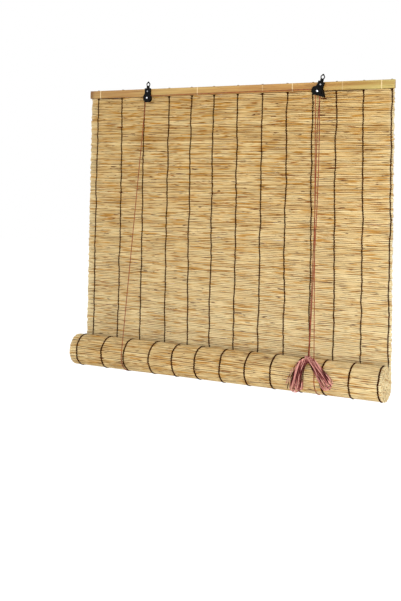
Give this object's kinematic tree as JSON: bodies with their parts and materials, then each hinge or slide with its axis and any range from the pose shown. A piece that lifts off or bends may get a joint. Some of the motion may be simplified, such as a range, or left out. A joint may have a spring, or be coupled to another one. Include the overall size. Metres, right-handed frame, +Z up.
{
  "type": "reed roll up blind",
  "caption": "Hanging window blind of woven reeds on a split bamboo head rail, half rolled up, with hooks, pulleys, a cord lock and a tied pull cord.",
  "frame": {"origin": "midway between the two hanging eyes, in the middle of their plates", "axes": "+X along the head rail to the right seen from the room, +Y from the room to the window, +Z up"},
  "size_m": [1.002, 0.1184, 0.8855],
  "materials": {
    "bamboo": "split bamboo, smooth, satin",
    "reed": "natural reed, matt, streaked",
    "warp_twine": "dark twisted twine",
    "black_steel": "black lacquered steel",
    "bright_steel": "bright rivets and washers",
    "pulley_steel": "dull plated steel",
    "lift_cord": "red-brown twisted cord",
    "pull_cord": "dusty red twisted cord"
  },
  "bodies": {
    "head_rail": {"front_slat": "bamboo", "back_slat": "bamboo", "reed_mat": "reed", "warp_01": "warp_twine", "warp_02": "warp_twine", "warp_03": "warp_twine", "warp_04": "warp_twine", "warp_05": "warp_twine", "warp_06": "warp_twine", "warp_07": "warp_twine", "warp_08": "warp_twine", "warp_09": "warp_twine", "warp_10": "warp_twine", "warp_11": "warp_twine", "warp_12": "warp_twine", "warp_13": "warp_twine", "left_front_cheek": "black_steel", "left_rear_cheek": "black_steel", "left_rail_rivet": "bright_steel", "left_axle_rivet": "bright_steel", "left_cord_knot": "lift_cord", "right_front_cheek": "black_steel", "right_rear_cheek": "black_steel", "right_rail_rivet": "bright_steel", "right_axle_rivet": "bright_steel", "right_cord_knot": "lift_cord", "rail_washers": "bright_steel", "left_rear_cord": "lift_cord", "right_rear_cord": "lift_cord", "left_front_cord": "lift_cord", "right_front_cord": "lift_cord", "cross_cord": "lift_cord", "lock_cord": "lift_cord", "left_pull_cord": "pull_cord", "right_pull_cord": "pull_cord"},
    "left_eye": {"left_eye_link": "black_steel"},
    "right_eye": {"right_eye_link": "black_steel"},
    "left_pulley_wheel": {"left_pulley": "pulley_steel"},
    "right_pulley_wheel": {"right_pulley": "pulley_steel"},
    "lock_jam": {"lock_roller": "pulley_steel"},
    "roll_carriage": {"left_sling": "lift_cord", "right_sling": "lift_cord", "cord_hank": "pull_cord"},
    "roll": {"rolled_mat": "reed", "bottom_slat": "bamboo", "roll_warp_01": "warp_twine", "roll_warp_02": "warp_twine", "roll_warp_03": "warp_twine", "roll_warp_04": "warp_twine", "roll_warp_05": "warp_twine", "roll_warp_06": "warp_twine", "roll_warp_07": "warp_twine", "roll_warp_08": "warp_twine", "roll_warp_09": "warp_twine", "roll_warp_10": "warp_twine", "roll_warp_11": "warp_twine", "roll_warp_12": "warp_twine", "roll_warp_13": "warp_twine"}
  },
  "joints": [
    {"name": "roll_lift", "type": "slide", "parent": "head_rail", "child": "roll_carriage", "axis": [0, 0, 1], "range_m": [0, 0.5574], "deforming": ["reed_mat", "warp_01", "warp_02", "warp_03", "warp_04", "warp_05", "warp_06", "warp_07", "warp_08", "warp_09", "warp_10", "warp_11", "warp_12", "warp_13", "left_rear_cord", "right_rear_cord", "left_front_cord", "right_front_cord", "left_pull_cord", "right_pull_cord"]},
    {"name": "roll_turn", "type": "hinge", "parent": "roll_carriage", "child": "roll", "pos_m": [0, -0.0332, -0.82747], "axis": [1, 0, 0], "range_deg": [-720, 0]},
    {"name": "left_pulley_spin", "type": "hinge", "parent": "head_rail", "child": "left_pulley_wheel", "pos_m": [-0.28863, -0.0015, -0.04177], "axis": [0, 1, 0], "continuous": true},
    {"name": "right_pulley_spin", "type": "hinge", "parent": "head_rail", "child": "right_pulley_wheel", "pos_m": [0.27433, -0.003, -0.03959], "axis": [0, 1, 0], "continuous": true},
    {"name": "left_eye_swing", "type": "hinge", "parent": "head_rail", "child": "left_eye", "pos_m": [-0.28863, 0, -0.02147], "axis": [0, 1, 0], "range_deg": [-90, 90]},
    {"name": "right_eye_swing", "type": "hinge", "parent": "head_rail", "child": "right_eye", "pos_m": [0.28193, 0, -0.02077], "axis": [0, 1, 0], "range_deg": [-90, 90]},
    {"name": "lock_roller_slide", "type": "slide", "parent": "head_rail", "child": "lock_jam", "axis": [0.4274, 0, -0.9041], "range_m": [0, 0.00608]}
  ],
  "couplings": [
    {"joint": "roll_turn", "follows": "roll_lift", "rad_per_m": -22.523},
    {"joint": "left_pulley_spin", "follows": "roll_lift", "rad_per_m": 317.46},
    {"joint": "right_pulley_spin", "follows": "roll_lift", "rad_per_m": 317.46}
  ]
}
